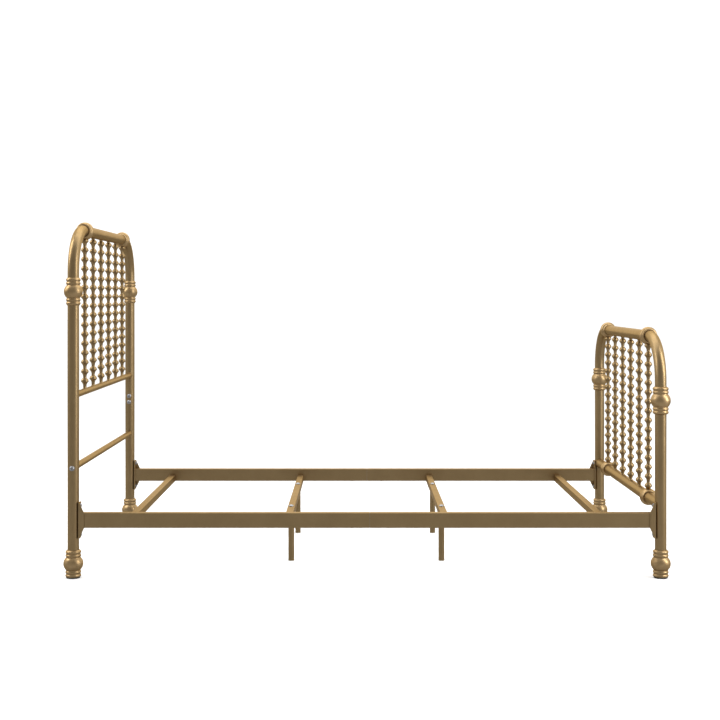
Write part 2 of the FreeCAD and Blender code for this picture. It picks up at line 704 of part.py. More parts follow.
# --- side rails -------------------------------------------------------------------------

def rounded_tube(name, width, height, wall, length, corner="tube_corner"):
    """A rectangular tube along its own +X axis, centred on it, with rounded long edges."""
    body = doc.addObject("PartDesign::Body", name + "_tube")
    sketches = []
    for part, inset in (("skin", "0"), ("bore", f"({wall})")):
        sketch = new_sketch(body, f"{name}_{part}_outline", "YZ_Plane")
        half_w = f"(({width}) / 2 - {inset})"
        half_h = f"(({height}) / 2 - {inset})"
        outline(sketch, rectangle(f"-{half_w}", f"-{half_h}", half_w, half_h))
        sketches.append(sketch)
    skin = body.newObject("PartDesign::Pad", name + "_skin")
    skin.Profile = sketches[0]
    bind(skin, Length=length)
    doc.recompute()
    rounded = body.newObject("PartDesign::Fillet", name + "_rounded")
    rounded.Base = (skin, long_edges(skin.Shape, Vector(1, 0, 0)))
    bind(rounded, Radius=corner)
    doc.recompute()
    hollow = body.newObject("PartDesign::Pocket", name + "_hollow")
    hollow.Profile = sketches[1]
    hollow.Reversed = True
    hollow.Type = "ThroughAll"
    body.Tip = hollow
    doc.recompute()
    full = rounded.Shape.Volume
    assert hollow.Shape.Volume < full, f"{name}: the bore cuts nothing"
    return body


def long_edges(shape, direction):
    """Names of the straight edges that run along a direction."""
    names = []
    for index, edge in enumerate(shape.Edges, start=1):
        run = edge.Vertexes[-1].Point - edge.Vertexes[0].Point
        if run.Length > 0 and abs(run.normalize().dot(direction)) > 0.999:
            names.append(f"Edge{index}")
    return names


def slat_x(number):
    return f"(({number} - (1 + slat_count) / 2) * {SLAT_PITCH})"


def side_rail(end_name, side_name):
    """Half a side rail, with slots for its two slats and a hole for its joiner screw."""
    side = SIDES[side_name]
    name = f"side_rail_{end_name}_{side_name}"
    at_head = end_name == "head"
    start = f"-{RAIL_START}" if at_head else f"seam_place + {HALF_SEAM}"
    length = (f"{RAIL_START} + seam_place - {HALF_SEAM}" if at_head
              else f"{RAIL_START} - seam_place - {HALF_SEAM}")
    tube = rounded_tube(name, "rail_width", "rail_height", "side_rail_wall", length)
    place(tube, start, signed(side, HALF_WIDTH), RAIL_MIDDLE)
    cuts = []
    wide = "hook_wall + 2 * slot_gap"
    tall = "hook_height + hook_drop + 2 * slot_gap"
    deep = "(side_rail_wall + tool_overrun)"
    near = range(1, SLATS // 2 + 1) if at_head else range(SLATS // 2 + 1, SLATS + 1)
    for number in near:
        cuts.append(box(f"{name}_slot_{number}",
                        (f"{slat_x(number)} - ({wide}) / 2",
                         f"{signed(side, RAIL_INNER_FACE)} - {deep}",
                         f"{SLAT_MIDDLE} - hook_height / 2 - hook_drop - slot_gap"),
                        (wide, f"2 * {deep}", tall)))
    screw_x = f"seam_place + {-1 if at_head else 1} * joiner_screw_reach"
    cuts.append(cylinder(f"{name}_screw_hole", "screw_dia + 2 * thread_gap",
                         "side_rail_wall + 2 * tool_overrun", screw_x,
                         signed(side, HALF_WIDTH), "rail_base - tool_overrun"))
    return keep(cut(name, tube, cuts), name)


def rail_joiner(side_name):
    side = SIDES[side_name]
    name = f"rail_joiner_{side_name}"
    inset = "(2 * side_rail_wall + 2 * plug_gap)"
    tube = rounded_tube(name, f"rail_width - {inset}", f"rail_height - {inset}", "joiner_wall",
                        "joiner_length", "tube_corner / 2")
    place(tube, "seam_place - joiner_length / 2", signed(side, HALF_WIDTH), RAIL_MIDDLE)
    holes = [cylinder(f"{name}_hole_{index}", "screw_dia + 2 * thread_gap",
                      "side_rail_wall + joiner_wall + 2 * tool_overrun",
                      f"seam_place + {sign} * joiner_screw_reach", signed(side, HALF_WIDTH),
                      "rail_base - tool_overrun")
             for index, sign in enumerate((-1, 1), start=1)]
    return keep(cut(name, tube, holes), name)


def joiner_screws():
    screws = []
    for side_name, side in SIDES.items():
        for index, sign in enumerate((-1, 1), start=1):
            name = f"joiner_screw_{side_name}_{index}"
            x = f"seam_place + {sign} * joiner_screw_reach"
            y = signed(side, HALF_WIDTH)
            shank = cylinder(name + "_shank", "screw_dia", "screw_reach", x, y, "rail_base")
            head = cylinder(name + "_head", "screw_head_dia", "screw_head_height", x, y,
                            "rail_base", "-z")
            screws.append(fuse(name, [shank, head]))
    keep(group("joiner_screws", screws), "rail_joiner_screws", 4)


# A bracket is drawn about the post's axis, with X inboard and Y outward, at rail height.
BRACKET_TURNS = {
    ("head", "left"): Rotation(),
    ("head", "right"): Rotation(Vector(1, 0, 0), 180),
    ("foot", "left"): Rotation(Vector(0, 1, 0), 180),
    ("foot", "right"): Rotation(Vector(0, 0, 1), 180),
}


def sketch_at(body, name, plane, distance):
    sketch = new_sketch(body, name, plane)
    sketch.AttachmentOffset = Placement(Vector(0, 0, amount(distance)), Rotation())
    sketch.setExpression("AttachmentOffset.Base.z", formula(distance))
    return sketch


def pad_between(body, name, plane, corners, low, high):
    """Pad an outline from one distance to another along its plane's normal."""
    sketch = sketch_at(body, name + "_outline", plane, low)
    outline(sketch, corners)
    pad = body.newObject("PartDesign::Pad", name)
    pad.Profile = sketch
    bind(pad, Length=f"({high}) - ({low})")
    body.Tip = pad
    return pad


def pocket_between(body, name, plane, corners, low, high):
    """Cut an outline away from one distance back to a lower one."""
    sketch = sketch_at(body, name + "_outline", plane, high)
    outline(sketch, corners)
    pocket = body.newObject("PartDesign::Pocket", name)
    pocket.Profile = sketch
    bind(pocket, Length=f"({high}) - ({low})")
    body.Tip = pocket
    return pocket


def rail_bracket(end_name, side_name):
    """An end plate with two bolt holes, an outer web and a hollow spigot for the rail."""
    name = f"rail_bracket_{end_name}_{side_name}"
    body = doc.addObject("PartDesign::Body", name + "_body")
    half_tall = "bracket_height / 2"
    half_rail = "(rail_height / 2)"
    web_in = "(rail_width / 2)"
    web_out = "(rail_width / 2 + web_wall)"
    pad_between(body, name + "_plate", "XZ_Plane",
                rectangle(PLATE_FACE, f"-{half_tall}", PLATE_INNER, half_tall),
                f"-{web_out}", f"bracket_width - {web_out}")
    pad_between(body, name + "_web", "XZ_Plane",
                [(PLATE_INNER, f"-{half_tall}"), ("web_reach", f"-{half_rail}"),
                 ("web_reach", half_rail), (PLATE_INNER, half_tall)],
                f"-{web_out}", f"-{web_in}")
    pad_between(body, name + "_root", "YZ_Plane",
                rectangle(f"-{web_in}", f"-{half_rail}", web_in, half_rail),
                PLATE_INNER, "rail_end")
    half_w = f"({web_in} - side_rail_wall - plug_gap)"
    half_h = f"({half_rail} - side_rail_wall - plug_gap)"
    tip = "rail_end + spigot_length"
    spigot = pad_between(body, name + "_spigot", "YZ_Plane",
                         rectangle(f"-{half_w}", f"-{half_h}", half_w, half_h), "rail_end", tip)
    core_w = f"({half_w} - spigot_wall)"
    core_h = f"({half_h} - spigot_wall)"
    core = pocket_between(body, name + "_core", "YZ_Plane",
                          rectangle(f"-{core_w}", f"-{core_h}", core_w, core_h),
                          PLATE_INNER, tip)
    doc.recompute()
    assert core.Shape.Volume < spigot.Shape.Volume, f"{name}: the core cuts nothing"
    turn = BRACKET_TURNS[end_name, side_name]
    end = -1 if end_name == "head" else 1
    x = signed(end, HALF_LENGTH)
    y = signed(SIDES[side_name], HALF_WIDTH)
    place(body, x, y, RAIL_MIDDLE, turn)
    holes = [cylinder(f"{name}_hole_{index}", "bolt_dia + 2 * bolt_gap", f"2 * {PLATE_INNER}",
                      x, y, f"{RAIL_MIDDLE} + {sign} * rail_bolt_spread / 2",
                      "+x" if end < 0 else "-x")
             for index, sign in enumerate((-1, 1), start=1)]
    return keep(cut(name, body, holes), name)


def rail_bolts():
    bolts = []
    for end_name, end in (("head", -1), ("foot", 1)):
        for side_name, side in SIDES.items():
            for index, sign in enumerate((-1, 1), start=1):
                bolts.append(bolt(f"rail_bolt_{end_name}_{side_name}_{index}", "rail_bolt_reach",
                                  signed(end, f"{HALF_LENGTH} - {PLATE_INNER}"),
                                  signed(side, HALF_WIDTH),
                                  f"{RAIL_MIDDLE} + {sign} * rail_bolt_spread / 2",
                                  "-x" if end < 0 else "+x"))
    keep(group("rail_bolts", bolts), "rail_bolts", 8)


# --- cross slats and support legs -------------------------------------------------------

def cross_slat(number):
    """A square tube between the side rails; the middle two are drilled for their legs."""
    name = f"cross_slat_{number}"
    tube = rounded_tube(name, "slat_size", "slat_size", "slat_wall", f"2 * {RAIL_INNER_FACE}")
    place(tube, slat_x(number), f"-{RAIL_INNER_FACE}", SLAT_MIDDLE, Rotation(Vector(0, 0, 1), 90))
    if number not in LEG_SLATS:
        return keep(tube, name)
    holes = [cylinder(f"{name}_hole_{side_name}", "bolt_dia + 2 * bolt_gap", "2 * slat_size",
                      slat_x(number), signed(side, "leg_reach"), f"{SLAT_BASE} - slat_size / 2")
             for side_name, side in SIDES.items()]
    return keep(cut(name, tube, holes), name)


def slat_hook(number, side_name):
    """A steel tongue in a slat's end that drops behind the wall of the side rail."""
    name = f"slat_hook_{number}_{side_name}"
    side = SIDES[side_name]
    body = doc.addObject("PartDesign::Body", name)
    half_inside = "(slat_size / 2 - slat_wall)"
    half_tongue = "hook_height / 2"
    catch = "side_rail_wall + plug_gap"
    corners = [
        ("-hook_inside", f"-{half_inside}"),
        ("-plug_gap", f"-{half_inside}"),
        ("-plug_gap", f"-{half_tongue}"),
        (catch, f"-{half_tongue}"),
        (catch, f"-{half_tongue} - hook_drop"),
        (f"{catch} + hook_nose", f"-{half_tongue} - hook_drop"),
        (f"{catch} + hook_nose", half_tongue),
        ("-plug_gap", half_tongue),
        ("-plug_gap", half_inside),
        ("-hook_inside", half_inside),
    ]
    pad_between(body, name + "_plate", "YZ_Plane", corners, "-hook_wall / 2", "hook_wall / 2")
    place(body, slat_x(number), signed(side, RAIL_INNER_FACE), SLAT_MIDDLE,
          Rotation(Vector(0, 0, 1), 0 if side > 0 else 180))
    return body


def support_leg(index, number, side_name):
    """A round tube with a threaded plug welded in its top."""
    name = f"support_leg_{index}"
    x = slat_x(number)
    y = signed(SIDES[side_name], "leg_reach")
    height = f"({SLAT_BASE} - glide_height)"
    skin = cylinder(name + "_skin", "leg_dia", height, x, y, "glide_height")
    bore = cylinder(name + "_bore", "leg_dia - 2 * rail_wall", f"{height} - leg_plug_length",
                    x, y, "glide_height")
    thread = cylinder(name + "_thread", "bolt_dia + 2 * thread_gap", "leg_plug_length", x, y,
                      SLAT_BASE, "-z")
    keep(cut(name, skin, [bore, thread]), name)
    fastener = bolt(f"leg_bolt_{index}", "slat_size + leg_bolt_depth", x, y, SLAT_TOP, "-z")
    glide = peg_and_disc(f"leg_glide_{index}", "leg_dia", "glide_height",
                         "leg_dia - 2 * rail_wall - 2 * plug_gap", "glide_plug_length", x, y)
    return fastener, glide


def peg_and_disc(name, disc_dia, disc_height, peg_dia, peg_length, x, y):
    """A moulded disc on the floor with a peg that holds it in the tube or casting above."""
    disc = cylinder(name + "_disc", disc_dia, disc_height, x, y)
    peg = cylinder(name + "_peg", peg_dia, f"{disc_height} + {peg_length}", x, y)
    return fuse(name, [disc, peg])


def slats_and_legs():
    hooks = []
    for number in range(1, SLATS + 1):
        cross_slat(number)
        hooks += [slat_hook(number, side_name) for side_name in SIDES]
    keep(group("slat_hooks", hooks), "slat_hooks", 2 * SLATS)
    bolts = []
    glides = []
    places = [(number, side_name) for number in LEG_SLATS for side_name in SIDES]
    for index, (number, side_name) in enumerate(places, start=1):
        fastener, glide = support_leg(index, number, side_name)
        bolts.append(fastener)
        glides.append(glide)
    keep(group("leg_bolts", bolts), "leg_bolts", len(bolts))
    keep(group("leg_glides", glides), "leg_glides", len(glides))


def floor_pads():
    pads = [peg_and_disc(f"floor_pad_{board}_{side_name}", "pad_dia", "pad_height",
                         "pad_peg_dia", "pad_peg_length",
                         signed(BOARDS[board]["end"], HALF_LENGTH), signed(side, HALF_WIDTH))
            for board in BOARDS for side_name, side in SIDES.items()]
    keep(group("floor_pads", pads), "floor_pads", 4)


# --- the whole bed ----------------------------------------------------------------------

headboard()
footboard()
for rail_end in ("head", "foot"):
    for rail_side in SIDES:
        side_rail(rail_end, rail_side)
        rail_bracket(rail_end, rail_side)
for rail_side in SIDES:
    rail_joiner(rail_side)
joiner_screws()
rail_bolts()
slats_and_legs()
floor_pads()
doc.recompute()

for item in doc.Objects:
    assert not {"Invalid", "Error"} & set(item.State), f"{item.Name} failed: {item.State}"
for item, label, solids in nodes:
    shape = item.Shape
    assert not shape.isNull() and shape.isValid(), f"{label} has no valid shape"
    assert len(shape.Solids) == solids, f"{label} has {len(shape.Solids)} solids, not {solids}"

os.makedirs("parts", exist_ok=True)
for item, label, _ in nodes:
    item.Shape.exportStep(f"parts/{label}.step")
print(len(nodes), "sub-parts written")
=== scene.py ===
import json
import math
import bmesh
import bpy
from mathutils import Matrix, Vector

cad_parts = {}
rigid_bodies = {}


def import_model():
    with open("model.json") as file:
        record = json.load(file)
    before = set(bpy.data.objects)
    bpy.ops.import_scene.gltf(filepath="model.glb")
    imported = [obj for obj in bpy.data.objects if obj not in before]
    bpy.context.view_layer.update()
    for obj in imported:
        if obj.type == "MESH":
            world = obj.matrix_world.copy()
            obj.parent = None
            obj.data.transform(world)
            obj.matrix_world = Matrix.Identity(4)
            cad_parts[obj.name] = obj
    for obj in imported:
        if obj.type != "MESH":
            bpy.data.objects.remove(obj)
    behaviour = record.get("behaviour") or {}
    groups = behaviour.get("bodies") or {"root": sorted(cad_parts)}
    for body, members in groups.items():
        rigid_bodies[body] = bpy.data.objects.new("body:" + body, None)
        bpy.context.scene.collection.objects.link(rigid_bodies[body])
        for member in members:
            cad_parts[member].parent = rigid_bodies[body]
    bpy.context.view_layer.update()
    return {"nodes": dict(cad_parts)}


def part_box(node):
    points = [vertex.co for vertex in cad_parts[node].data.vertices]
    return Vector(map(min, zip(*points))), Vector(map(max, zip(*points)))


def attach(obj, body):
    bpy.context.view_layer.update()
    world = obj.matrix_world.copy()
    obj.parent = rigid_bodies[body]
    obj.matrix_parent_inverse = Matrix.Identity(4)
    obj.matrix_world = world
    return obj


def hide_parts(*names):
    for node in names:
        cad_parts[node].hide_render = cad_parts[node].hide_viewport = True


# A single bed frame of gold-painted steel tube with cast ornaments and beaded spindles.
# The headboard stands at -X and the footboard at +X.  Meshes, places and lights are in
# metres, and the sizes of the pieces' own details are in millimetres.

for startup_object in list(bpy.data.objects):
    bpy.data.objects.remove(startup_object)
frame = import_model()

MM = 0.001
TAU = 2 * math.pi
UP = Vector((0, 0, 1))
SIDES = {"left": 1, "right": -1}
BOARDS = {"headboard": -1, "footboard": 1}
SPINDLES = range(1, 7)
SUPPORT_LEGS = range(1, 5)


# --- places read from the frame ---------------------------------------------------------

def middle(node):
    low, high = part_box(node)
    return (low + high) / 2


def span(node):
    low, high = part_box(node)
    return high - low


POST_X = middle("footboard_foot_left").x
POST_Y = middle("footboard_foot_left").y
POST_RADIUS = span("footboard_top_rail").x / 2
LOW_RAILS = {"headboard": "headboard_middle_rail", "footboard": "footboard_bottom_rail"}


# --- outlines and turned shapes ---------------------------------------------------------

SAME = 1e-6                          # two places this near are one
SHARP_EDGE = math.radians(30)        # edges over this angle are rounded
SMOOTH_SHADED = math.radians(38)     # edges under this angle are shaded smooth


def dome_radius(rise, half_span):
    """Radius of the arc that rises by `rise` over a span of twice `half_span`."""
    return (half_span ** 2 + rise ** 2) / (2 * rise)


def arc_points(start, end, radius, turn, steps):
    """Points after start, up to end, on the short arc between them; turn 1 is anticlockwise."""
    start, end = Vector(start), Vector(end)
    chord = end - start
    across = Vector((-chord.y, chord.x)).normalized()
    offset = math.sqrt(max(radius ** 2 - (chord.length / 2) ** 2, 0))
    centre = (start + end) / 2 + across * offset * turn
    first = start - centre
    swing = 2 * math.asin(min(chord.length / 2 / radius, 1)) * turn
    points = []
    for step in range(1, steps + 1):
        turned_by = Matrix.Rotation(swing * step / steps, 2)
        points.append(centre + turned_by @ first)
    return points


def trace(corners, arc_steps=8):
    """Points of an outline of (radius, height) corners in millimetres; a corner that an arc
    leads to is (radius, height, arc radius, turn)."""
    points = [Vector(corners[0][:2]) * MM]
    for corner in corners[1:]:
        end = Vector(corner[:2]) * MM
        if len(corner) == 2:
            points.append(end)
        else:
            points += arc_points(points[-1], end, corner[2] * MM, corner[3], arc_steps)
    return points


def spun(points, steps, closed):
    """A mesh turned about Z from (radius, height) points."""
    mesh = bmesh.new()
    rim = [mesh.verts.new((point.x, 0, point.y)) for point in points]
    pairs = list(zip(rim, rim[1:]))
    if closed:
        pairs.append((rim[-1], rim[0]))
    chain = [mesh.edges.new(pair) for pair in pairs]
    bmesh.ops.spin(mesh, geom=rim + chain, cent=(0, 0, 0), axis=UP, angle=TAU, steps=steps,
                   use_merge=True)
    bmesh.ops.remove_doubles(mesh, verts=mesh.verts, dist=SAME)
    bmesh.ops.recalc_face_normals(mesh, faces=mesh.faces)
    return mesh


def soften(mesh, width, segments=2):
    """Round the sharp edges of a mesh."""
    sharp = [edge for edge in mesh.edges if edge.calc_face_angle(0) > SHARP_EDGE]
    bmesh.ops.bevel(mesh, geom=sharp, offset=width, offset_type="OFFSET", affect="EDGES",
                    segments=segments, profile=0.5, material=-1, clamp_overlap=True)
    return mesh


def move(mesh, place, along=UP):
    """Turn a mesh's own Z to a direction and carry it to its place."""
    turn = Vector(along).to_track_quat("Z", "Y").to_matrix().to_4x4()
    bmesh.ops.transform(mesh, matrix=Matrix.Translation(place) @ turn, verts=mesh.verts)
    return mesh


def joined(meshes):
    """One mesh from several."""
    whole = bmesh.new()
    for mesh in meshes:
        carrier = bpy.data.meshes.new("carrier")
        mesh.to_mesh(carrier)
        mesh.free()
        whole.from_mesh(carrier)
        bpy.data.meshes.remove(carrier)
    return whole


def piece(name, mesh, material, slot, *nodes):
    """Make a finished piece that stands for CAD nodes, or joins them where none is named."""
    data = bpy.data.meshes.new(name)
    mesh.to_mesh(data)
    mesh.free()
    for face in data.polygons:
        face.use_smooth = True
    data.set_sharp_from_angle(angle=SMOOTH_SHADED)
    data.materials.append(material)
    item = bpy.data.objects.new(name, data)
    bpy.context.scene.collection.objects.link(item)
    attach(item, "root")
    if nodes:
        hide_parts(*nodes)


# --- materials --------------------------------------------------------------------------

NOISE_LOW = 0.3           # nearly all of a noise pattern lies between these
NOISE_HIGH = 0.7


class Finish:
    """A node material on Object coordinates."""

    def __init__(self, name, metallic, **sockets):
        self.material = bpy.data.materials.new(name)
        self.material.use_nodes = True
        self.tree = self.material.node_tree
        self.shader = self.tree.nodes["Principled BSDF"]
        self.shader.inputs["Metallic"].default_value = metallic
        for socket, value in sockets.items():
            self.shader.inputs[socket.replace("_", " ")].default_value = value
        self.place = self.node("ShaderNodeTexCoord").outputs["Object"]

    def node(self, kind, **values):
        made = self.tree.nodes.new(kind)
        for name, value in values.items():
            setattr(made, name, value)
        return made

    def link(self, start, end):
        self.tree.links.new(start, end)

    def noise(self, scale, detail, roughness=0.5):
        """A noise pattern with `scale` features in a metre."""
        texture = self.node("ShaderNodeTexNoise")
        texture.inputs["Scale"].default_value = scale
        texture.inputs["Detail"].default_value = detail
        texture.inputs["Roughness"].default_value = roughness
        self.link(self.place, texture.inputs["Vector"])
        return texture.outputs["Fac"]

    def ramp(self, value, *stops):
        """Turn a value into colours or numbers at (position, colour) stops."""
        ramp = self.node("ShaderNodeValToRGB")
        band = ramp.color_ramp
        while len(band.elements) < len(stops):
            band.elements.new(0.5)
        for element, (position, colour) in zip(band.elements, stops):
            element.position = position
            element.color = colour
        self.link(value, ramp.inputs["Fac"])
        return ramp.outputs["Color"]

    def colour(self, value, *stops):
        self.link(self.ramp(value, *stops), self.shader.inputs["Base Color"])

    def blend(self, factor, first, second):
        """Mix two colour outputs."""
        mix = self.node("ShaderNodeMix", data_type="RGBA")
        self.link(factor, mix.inputs["Factor"])
        self.link(first, mix.inputs["A"])
        self.link(second, mix.inputs["B"])
        return mix.outputs["Result"]

    def range(self, value, low, high, socket=None):
        """Spread a noise pattern between two numbers."""
        spread = self.node("ShaderNodeMapRange")
        spread.inputs["From Min"].default_value = NOISE_LOW
        spread.inputs["From Max"].default_value = NOISE_HIGH
        spread.inputs["To Min"].default_value = low
        spread.inputs["To Max"].default_value = high
        self.link(value, spread.inputs["Value"])
        if socket:
            self.link(spread.outputs["Result"], self.shader.inputs[socket])
        return spread.outputs["Result"]

    def bump(self, value, depth):
        """Raise the surface by a pattern, by up to `depth` metres."""
        bump = self.node("ShaderNodeBump")
        bump.inputs["Strength"].default_value = 1
        bump.inputs["Distance"].default_value = depth
        self.link(value, bump.inputs["Height"])
        self.link(bump.outputs["Normal"], self.shader.inputs["Normal"])


def shade(red, green, blue):
    return (red, green, blue, 1)


# The tone of gold paint seen along its surface, which keeps it from turning white there.
EDGE_TONE = shade(0.80, 0.64, 0.44)


def gold_tube():
    """Satin antique-gold paint: cloudy tone, metal flake and a faint orange peel."""
    paint = Finish("antique_gold_paint", 1.0, Specular_Tint=EDGE_TONE)
    clouds = paint.noise(14, detail=5, roughness=0.6)
    tone = paint.ramp(clouds,
                      (0.30, shade(0.305, 0.210, 0.104)),
                      (0.70, shade(0.355, 0.250, 0.128)))
    flake = paint.noise(2600, detail=1)
    glint = paint.ramp(flake,
                       (0.35, shade(0.285, 0.195, 0.096)),
                       (0.66, shade(0.380, 0.272, 0.142)))
    share = paint.range(paint.noise(900, detail=1), 0.2, 0.5)
    paint.link(paint.blend(share, tone, glint), paint.shader.inputs["Base Color"])
    paint.range(paint.noise(60, detail=4), 0.34, 0.44, "Roughness")
    paint.bump(paint.noise(420, detail=2), 0.00005)
    return paint.material


def gold_casting():
    """The same paint over castings with their coarser skin, in lighter tones as painted light.
    """
    paint = Finish("antique_gold_castings_painted_lighter", 1.0, Specular_Tint=EDGE_TONE)
    clouds = paint.noise(45, detail=6, roughness=0.62)
    # Painted light: these tones are lighter than the tube paint's, standing in for the extra
    # light that the castings catch; the clouds vary them at random.
    paint.colour(clouds,
                 (0.28, shade(0.365, 0.248, 0.122)),
                 (0.50, shade(0.420, 0.290, 0.148)),
                 (0.74, shade(0.490, 0.348, 0.186)))
    paint.range(paint.noise(110, detail=4), 0.34, 0.46, "Roughness")
    paint.bump(paint.noise(260, detail=4), 0.00012)
    return paint.material


def gold_beads():
    """The same paint on the turned spindles, a little rubbed on the beads."""
    paint = Finish("antique_gold_beads", 1.0, Specular_Tint=EDGE_TONE)
    clouds = paint.noise(70, detail=5, roughness=0.6)
    paint.colour(clouds,
                 (0.30, shade(0.270, 0.184, 0.090)),
                 (0.52, shade(0.315, 0.218, 0.110)),
                 (0.74, shade(0.370, 0.262, 0.138)))
    paint.range(paint.noise(150, detail=4), 0.30, 0.42, "Roughness")
    paint.bump(paint.noise(500, detail=3), 0.00006)
    return paint.material


def zinc():
    """Zinc plating, dulled a little, on the bolts and fittings."""
    plating = Finish("bright_zinc", 1.0)
    plating.colour(plating.noise(320, detail=4),
                   (0.3, shade(0.30, 0.30, 0.31)),
                   (0.7, shade(0.42, 0.42, 0.43)))
    plating.range(plating.noise(700, detail=3), 0.22, 0.38, "Roughness")
    plating.bump(plating.noise(1500, detail=2), 0.00002)
    return plating.material


def black_rubber():
    """Matt black pads under the posts."""
    rubber = Finish("black_rubber", 0.0, Specular_IOR_Level=0.35)
    rubber.colour(rubber.noise(180, detail=5),
                  (0.3, shade(0.012, 0.012, 0.013)),
                  (0.7, shade(0.032, 0.031, 0.030)))
    rubber.range(rubber.noise(400, detail=3), 0.70, 0.90, "Roughness")
    rubber.bump(rubber.noise(1300, detail=3), 0.00008)
    return rubber.material


def nylon():
    """Natural nylon glides under the support legs."""
    moulding = Finish("natural_nylon", 0.0, Subsurface_Weight=0.05)
    moulding.colour(moulding.noise(150, detail=4),
                    (0.3, shade(0.60, 0.57, 0.49)),
                    (0.7, shade(0.72, 0.69, 0.61)))
    moulding.range(moulding.noise(500, detail=2), 0.42, 0.55, "Roughness")
    moulding.bump(moulding.noise(900, detail=2), 0.00003)
    return moulding.material


GOLD = gold_tube()
CASTING = gold_casting()
BEADS = gold_beads()
ZINC = zinc()
RUBBER = black_rubber()
NYLON = nylon()
ZINC_NODES = ("rail_joiner_left", "rail_joiner_right", "slat_hooks")

# The CAD nodes that stay visible are the tubes, in gold, and these fittings, in zinc.
for node_name, node in frame["nodes"].items():
    for slot in node.material_slots:
        slot.link = "OBJECT"
        slot.material = ZINC if node_name in ZINC_NODES else GOLD


# --- castings ---------------------------------------------------------------------------

# The sizes of the pieces' details, from here to the welds, are in millimetres.
RING_WIDTH = 8.6
RING_PITCH = 11.4
NECK_HEIGHT = 2.6
BUN_FULLNESS = 0.5        # where the bun is widest, as a share of its height
BORE_GAP = 0.2
END_WALL = 1.6            # how far a casting's end face starts out from the tube
CASTING_STEPS = 72
CASTING_ARC = 10
CASTING_EDGE = 0.5

HEADBOARD_ORNAMENT = {"first_ring": 7, "last_ring": 7, "ring_step": 5.0, "groove_step": 2.8}
FOOTBOARD_ORNAMENT = {"first_ring": 7, "last_ring": 7, "ring_step": 7.2, "groove_step": 5.0}
FOOT = {"first_ring": 4.4, "last_ring": 7, "ring_step": 6.9, "groove_step": 4.8,
        "floor": 16}


def ring(low_end, groove, radius):
    """Corners of one half-round ring that starts at height `low_end`."""
    rise = radius - groove
    return [(groove, low_end),
            (groove, low_end + RING_WIDTH, dome_radius(rise, RING_WIDTH / 2), 1)]


def post_casting(node, first_ring, last_ring, ring_step, groove_step, floor=0):
    """Two rings, a bun and two rings around a post.

    The first and last rings' middles are given from the bottom and from the top, and rings
    and grooves by how far they stand out from the post.  A foot has a solid floor under the
    post; an ornament is open at both ends.
    """
    post = POST_RADIUS / MM
    height = span(node).z / MM
    bun = span(node).x / 2 / MM
    groove = post + groove_step
    lows = [first_ring - RING_WIDTH / 2, first_ring - RING_WIDTH / 2 + RING_PITCH]
    high_one = height - last_ring - RING_WIDTH / 2
    highs = [high_one - RING_PITCH, high_one]
    bun_low = lows[1] + RING_WIDTH + NECK_HEIGHT
    bun_high = highs[0] - NECK_HEIGHT
    bun_middle = bun_low + BUN_FULLNESS * (bun_high - bun_low)
    corners = []
    for low_end in lows:
        corners += ring(low_end, groove, post + ring_step)
    corners.append((groove, bun_low))
    corners.append((bun, bun_middle, dome_radius(bun - groove, bun_middle - bun_low), 1))
    corners.append((groove, bun_high, dome_radius(bun - groove, bun_high - bun_middle), 1))
    for low_end in highs:
        corners += ring(low_end, groove, post + ring_step)
    bore = post + BORE_GAP
    corners += [(post + END_WALL, height), (bore, height), (bore, floor)]
    corners += [(0, floor), (0, 0), (groove, 0)] if floor else [(post + END_WALL, 0)]
    mesh = spun(trace(corners, CASTING_ARC), CASTING_STEPS, closed=not floor)
    soften(mesh, CASTING_EDGE * MM)
    centre = middle(node)
    return move(mesh, (centre.x, centre.y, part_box(node)[0].z))


def castings():
    ornaments = {"headboard": HEADBOARD_ORNAMENT, "footboard": FOOTBOARD_ORNAMENT}
    for board, ornament in ornaments.items():
        for side in SIDES:
            node = f"{board}_post_ornament_{side}"
            piece(f"{node}_casting", post_casting(node, **ornament), CASTING,
                  "gold_finish", node)
            node = f"{board}_foot_{side}"
            piece(f"{node}_casting", post_casting(node, **FOOT), CASTING,
                  "gold_finish", node)


COLLAR_GROOVE = 3.5
COLLAR_LAND = 2
OUTER_RING = 8
INNER_RING = 5
MOUTH_WIDTH = 1.4
MOUTH_DEPTH = 1.2


def collar(node, side):
    """The collar of a top corner: a large ring against the bend, a bun, and a smaller ring."""
    post = POST_RADIUS / MM
    length = span(node).y / MM
    bun = span(node).x / 2 / MM
    bore = post + BORE_GAP
    groove = post + COLLAR_GROOVE
    low_end = COLLAR_LAND + RING_WIDTH + NECK_HEIGHT
    high_end = length - low_end
    swell = dome_radius(bun - groove, (high_end - low_end) / 2)
    corners = [(post + MOUTH_WIDTH, 0), (groove, 0)]
    corners += ring(COLLAR_LAND, groove, post + OUTER_RING)
    corners += [(groove, low_end), (bun, (low_end + high_end) / 2, swell, 1),
                (groove, high_end, swell, 1)]
    corners += ring(length - COLLAR_LAND - RING_WIDTH, groove, post + INNER_RING)
    corners += [(post + END_WALL, length), (bore, length), (bore, MOUTH_DEPTH)]
    mesh = spun(trace(corners, CASTING_ARC), CASTING_STEPS, closed=True)
    soften(mesh, CASTING_EDGE * MM)
    centre = middle(node)
    outer = centre.y + side * span(node).y / 2
    return move(mesh, (centre.x, outer, centre.z), (0, -side, 0))


def collars():
    for board in BOARDS:
        for side_name, side in SIDES.items():
            node = f"{board}_top_collar_{side_name}"
            piece(f"{node}_casting", collar(node, side), CASTING, "gold_finish", node)


BALL_WALL = 3.3
BALL_ARC = 14
BALL_EDGE = 0.4


